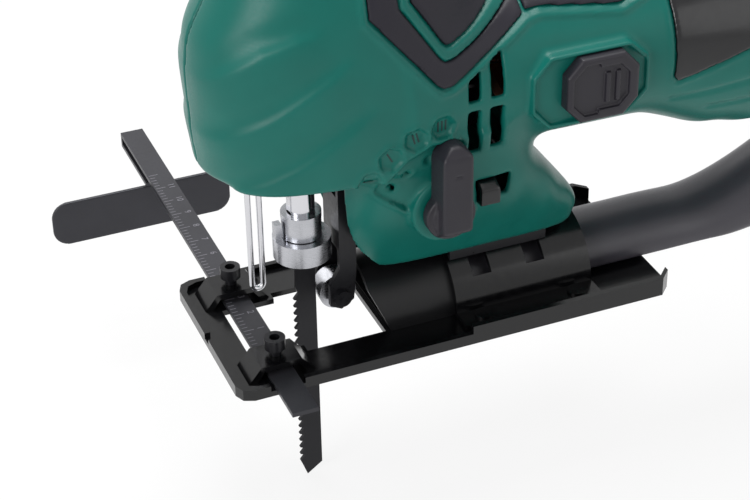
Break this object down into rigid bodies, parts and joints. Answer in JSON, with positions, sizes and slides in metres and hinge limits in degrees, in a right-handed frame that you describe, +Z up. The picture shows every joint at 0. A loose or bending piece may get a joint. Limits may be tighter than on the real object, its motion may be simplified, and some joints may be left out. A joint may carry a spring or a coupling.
{
  "type": "jigsaw power tool",
  "caption": "Corded pendulum jigsaw with a barrel-grip body, a tilting sole, a parallel guide and a pull-out dust tube.",
  "frame": {"origin": "underside of the sole, on the plunger's axis", "axes": "+X to the rear of the tool, +Y to the guide fence's side, +Z up along the plunger"},
  "size_m": [0.274, 0.1947, 0.222],
  "materials": {
    "black_plastic": "satin",
    "black_rubber": "matt",
    "black_steel": "black oxide, semi gloss",
    "blade_steel": "dark, bright teeth",
    "bright_steel": "turned",
    "bronze": "sintered bronze",
    "carbon": "matt",
    "cast_aluminium": "cast",
    "chrome": "polished",
    "copper": "wound copper",
    "fibre_board": "matt",
    "green_plastic": "satin moulded green",
    "knob_plastic": "satin dark grey",
    "laminated_iron": "stacked sheet",
    "panel_plastic": "bare gloss black",
    "screw_steel": "black oxide"
  },
  "bodies": {
    "root": {"housing_left": "green_plastic", "housing_right": "green_plastic", "housing_screws": "screw_steel", "side_grip_left": "black_rubber", "side_grip_right": "black_rubber", "side_panel_left": "panel_plastic", "side_panel_right": "panel_plastic", "top_grip": "black_rubber", "gear_case": "cast_aluminium", "lower_bush": "bronze", "upper_bush": "bronze", "gear_axle": "bright_steel", "pivot_pin": "bright_steel", "guard_wire": "chrome", "front_bearing": "bright_steel", "rear_bearing": "bright_steel", "stator": "laminated_iron", "field_coils": "copper", "carbon_brushes": "carbon", "brush_holders": "bronze", "base_carrier": "cast_aluminium", "switch_module": "black_plastic", "speed_board": "fibre_board", "cord_gland": "black_rubber"},
    "plunger_body": {"plunger": "chrome", "plunger_yoke": "bright_steel", "blade_clamp": "bright_steel", "clamp_washer": "bronze", "clamp_spring": "bright_steel", "saw_blade": "blade_steel"},
    "collar_body": {"clamp_collar": "chrome"},
    "crank_body": {"crank_gear": "bright_steel", "crank_pin": "bright_steel"},
    "armature_body": {"motor_shaft": "bright_steel", "armature_core": "laminated_iron", "commutator": "copper", "cooling_fan": "knob_plastic"},
    "knob_body": {"pendulum_knob": "knob_plastic", "pendulum_cam": "bright_steel"},
    "fork_body": {"roller_fork": "black_steel", "roller_pin": "bright_steel", "fork_spring": "bright_steel"},
    "roller_body": {"guide_roller": "bright_steel"},
    "switch_body": {"switch_slide": "knob_plastic"},
    "dial_body": {"speed_dial": "knob_plastic"},
    "blower_body": {"blower_slide": "knob_plastic"},
    "sole_body": {"sole_plate": "black_steel", "saddle": "black_steel", "saddle_rivets": "black_steel", "dust_mouth": "black_plastic"},
    "tube_body": {"dust_tube": "black_plastic"},
    "guide_body": {"guide_bar": "black_steel", "guide_fence": "black_steel"},
    "guide_screw_left_body": {"guide_screw_left": "screw_steel"},
    "guide_screw_right_body": {"guide_screw_right": "screw_steel"},
    "tilt_screw_front_body": {"tilt_screw_front": "screw_steel"},
    "tilt_screw_rear_body": {"tilt_screw_rear": "screw_steel"}
  },
  "joints": [
    {"name": "plunger_stroke", "type": "slide", "parent": "root", "child": "plunger_body", "axis": [0, 0, 1], "range_m": [0, 0.018]},
    {"name": "clamp_collar_twist", "type": "hinge", "parent": "plunger_body", "child": "collar_body", "pos_m": [0, 0, 0.032], "axis": [0, 0, 1], "range_deg": [0, 60], "stiffness_Nm_per_rad": 0.02},
    {"name": "armature_spin", "type": "hinge", "parent": "root", "child": "armature_body", "pos_m": [0.1, 0, 0.089], "axis": [1, 0, 0], "continuous": true},
    {"name": "crank_spin", "type": "hinge", "parent": "root", "child": "crank_body", "pos_m": [0.0175, 0, 0.1115], "axis": [1, 0, 0], "continuous": true},
    {"name": "pendulum_knob_turn", "type": "hinge", "parent": "root", "child": "knob_body", "pos_m": [0.0385, -0.03, 0.053], "axis": [0, 1, 0], "range_deg": [-54, 0]},
    {"name": "roller_fork_swing", "type": "hinge", "parent": "root", "child": "fork_body", "pos_m": [0.016, 0, 0.062], "axis": [0, 1, 0], "range_deg": [-2.5, 0], "stiffness_Nm_per_rad": 0.5},
    {"name": "guide_roller_spin", "type": "hinge", "parent": "fork_body", "child": "roller_body", "pos_m": [0.0108, 0, 0.012], "axis": [0, 1, 0], "continuous": true},
    {"name": "switch_slide_travel", "type": "slide", "parent": "root", "child": "switch_body", "axis": [-1, 0, 0], "range_m": [0, 0.01]},
    {"name": "speed_dial_turn", "type": "hinge", "parent": "root", "child": "dial_body", "pos_m": [0.178, 0, 0.112], "axis": [0, 1, 0], "range_deg": [-140, 140]},
    {"name": "blower_slide_travel", "type": "slide", "parent": "root", "child": "blower_body", "axis": [1, 0, 0], "range_m": [0, 0.0045]},
    {"name": "sole_tilt", "type": "hinge", "parent": "root", "child": "sole_body", "pos_m": [0.07, 0, 0.002], "axis": [1, 0, 0], "range_deg": [-45, 45]},
    {"name": "dust_tube_pull", "type": "slide", "parent": "sole_body", "child": "tube_body", "axis": [1, 0, 0], "range_m": [0, 0.07]},
    {"name": "guide_bar_slide", "type": "slide", "parent": "sole_body", "child": "guide_body", "axis": [0, 1, 0], "range_m": [-0.07, 0.02]},
    {"name": "guide_screw_left_turn", "type": "hinge", "parent": "sole_body", "child": "guide_screw_left_body", "pos_m": [-0.0186, -0.0225, 0.01], "axis": [0, 0, 1], "range_deg": [0, 720]},
    {"name": "guide_screw_right_turn", "type": "hinge", "parent": "sole_body", "child": "guide_screw_right_body", "pos_m": [-0.0186, 0.0225, 0.01], "axis": [0, 0, 1], "range_deg": [0, 720]},
    {"name": "tilt_screw_front_turn", "type": "hinge", "parent": "root", "child": "tilt_screw_front_body", "pos_m": [0.058, 0, 0.02], "axis": [0, 0, 1], "range_deg": [0, 360]},
    {"name": "tilt_screw_rear_turn", "type": "hinge", "parent": "root", "child": "tilt_screw_rear_body", "pos_m": [0.078, 0, 0.02], "axis": [0, 0, 1], "range_deg": [0, 360]}
  ],
  "couplings": [
    {"joint": "crank_spin", "follows": "armature_spin", "ratio": -0.25}
  ]
}
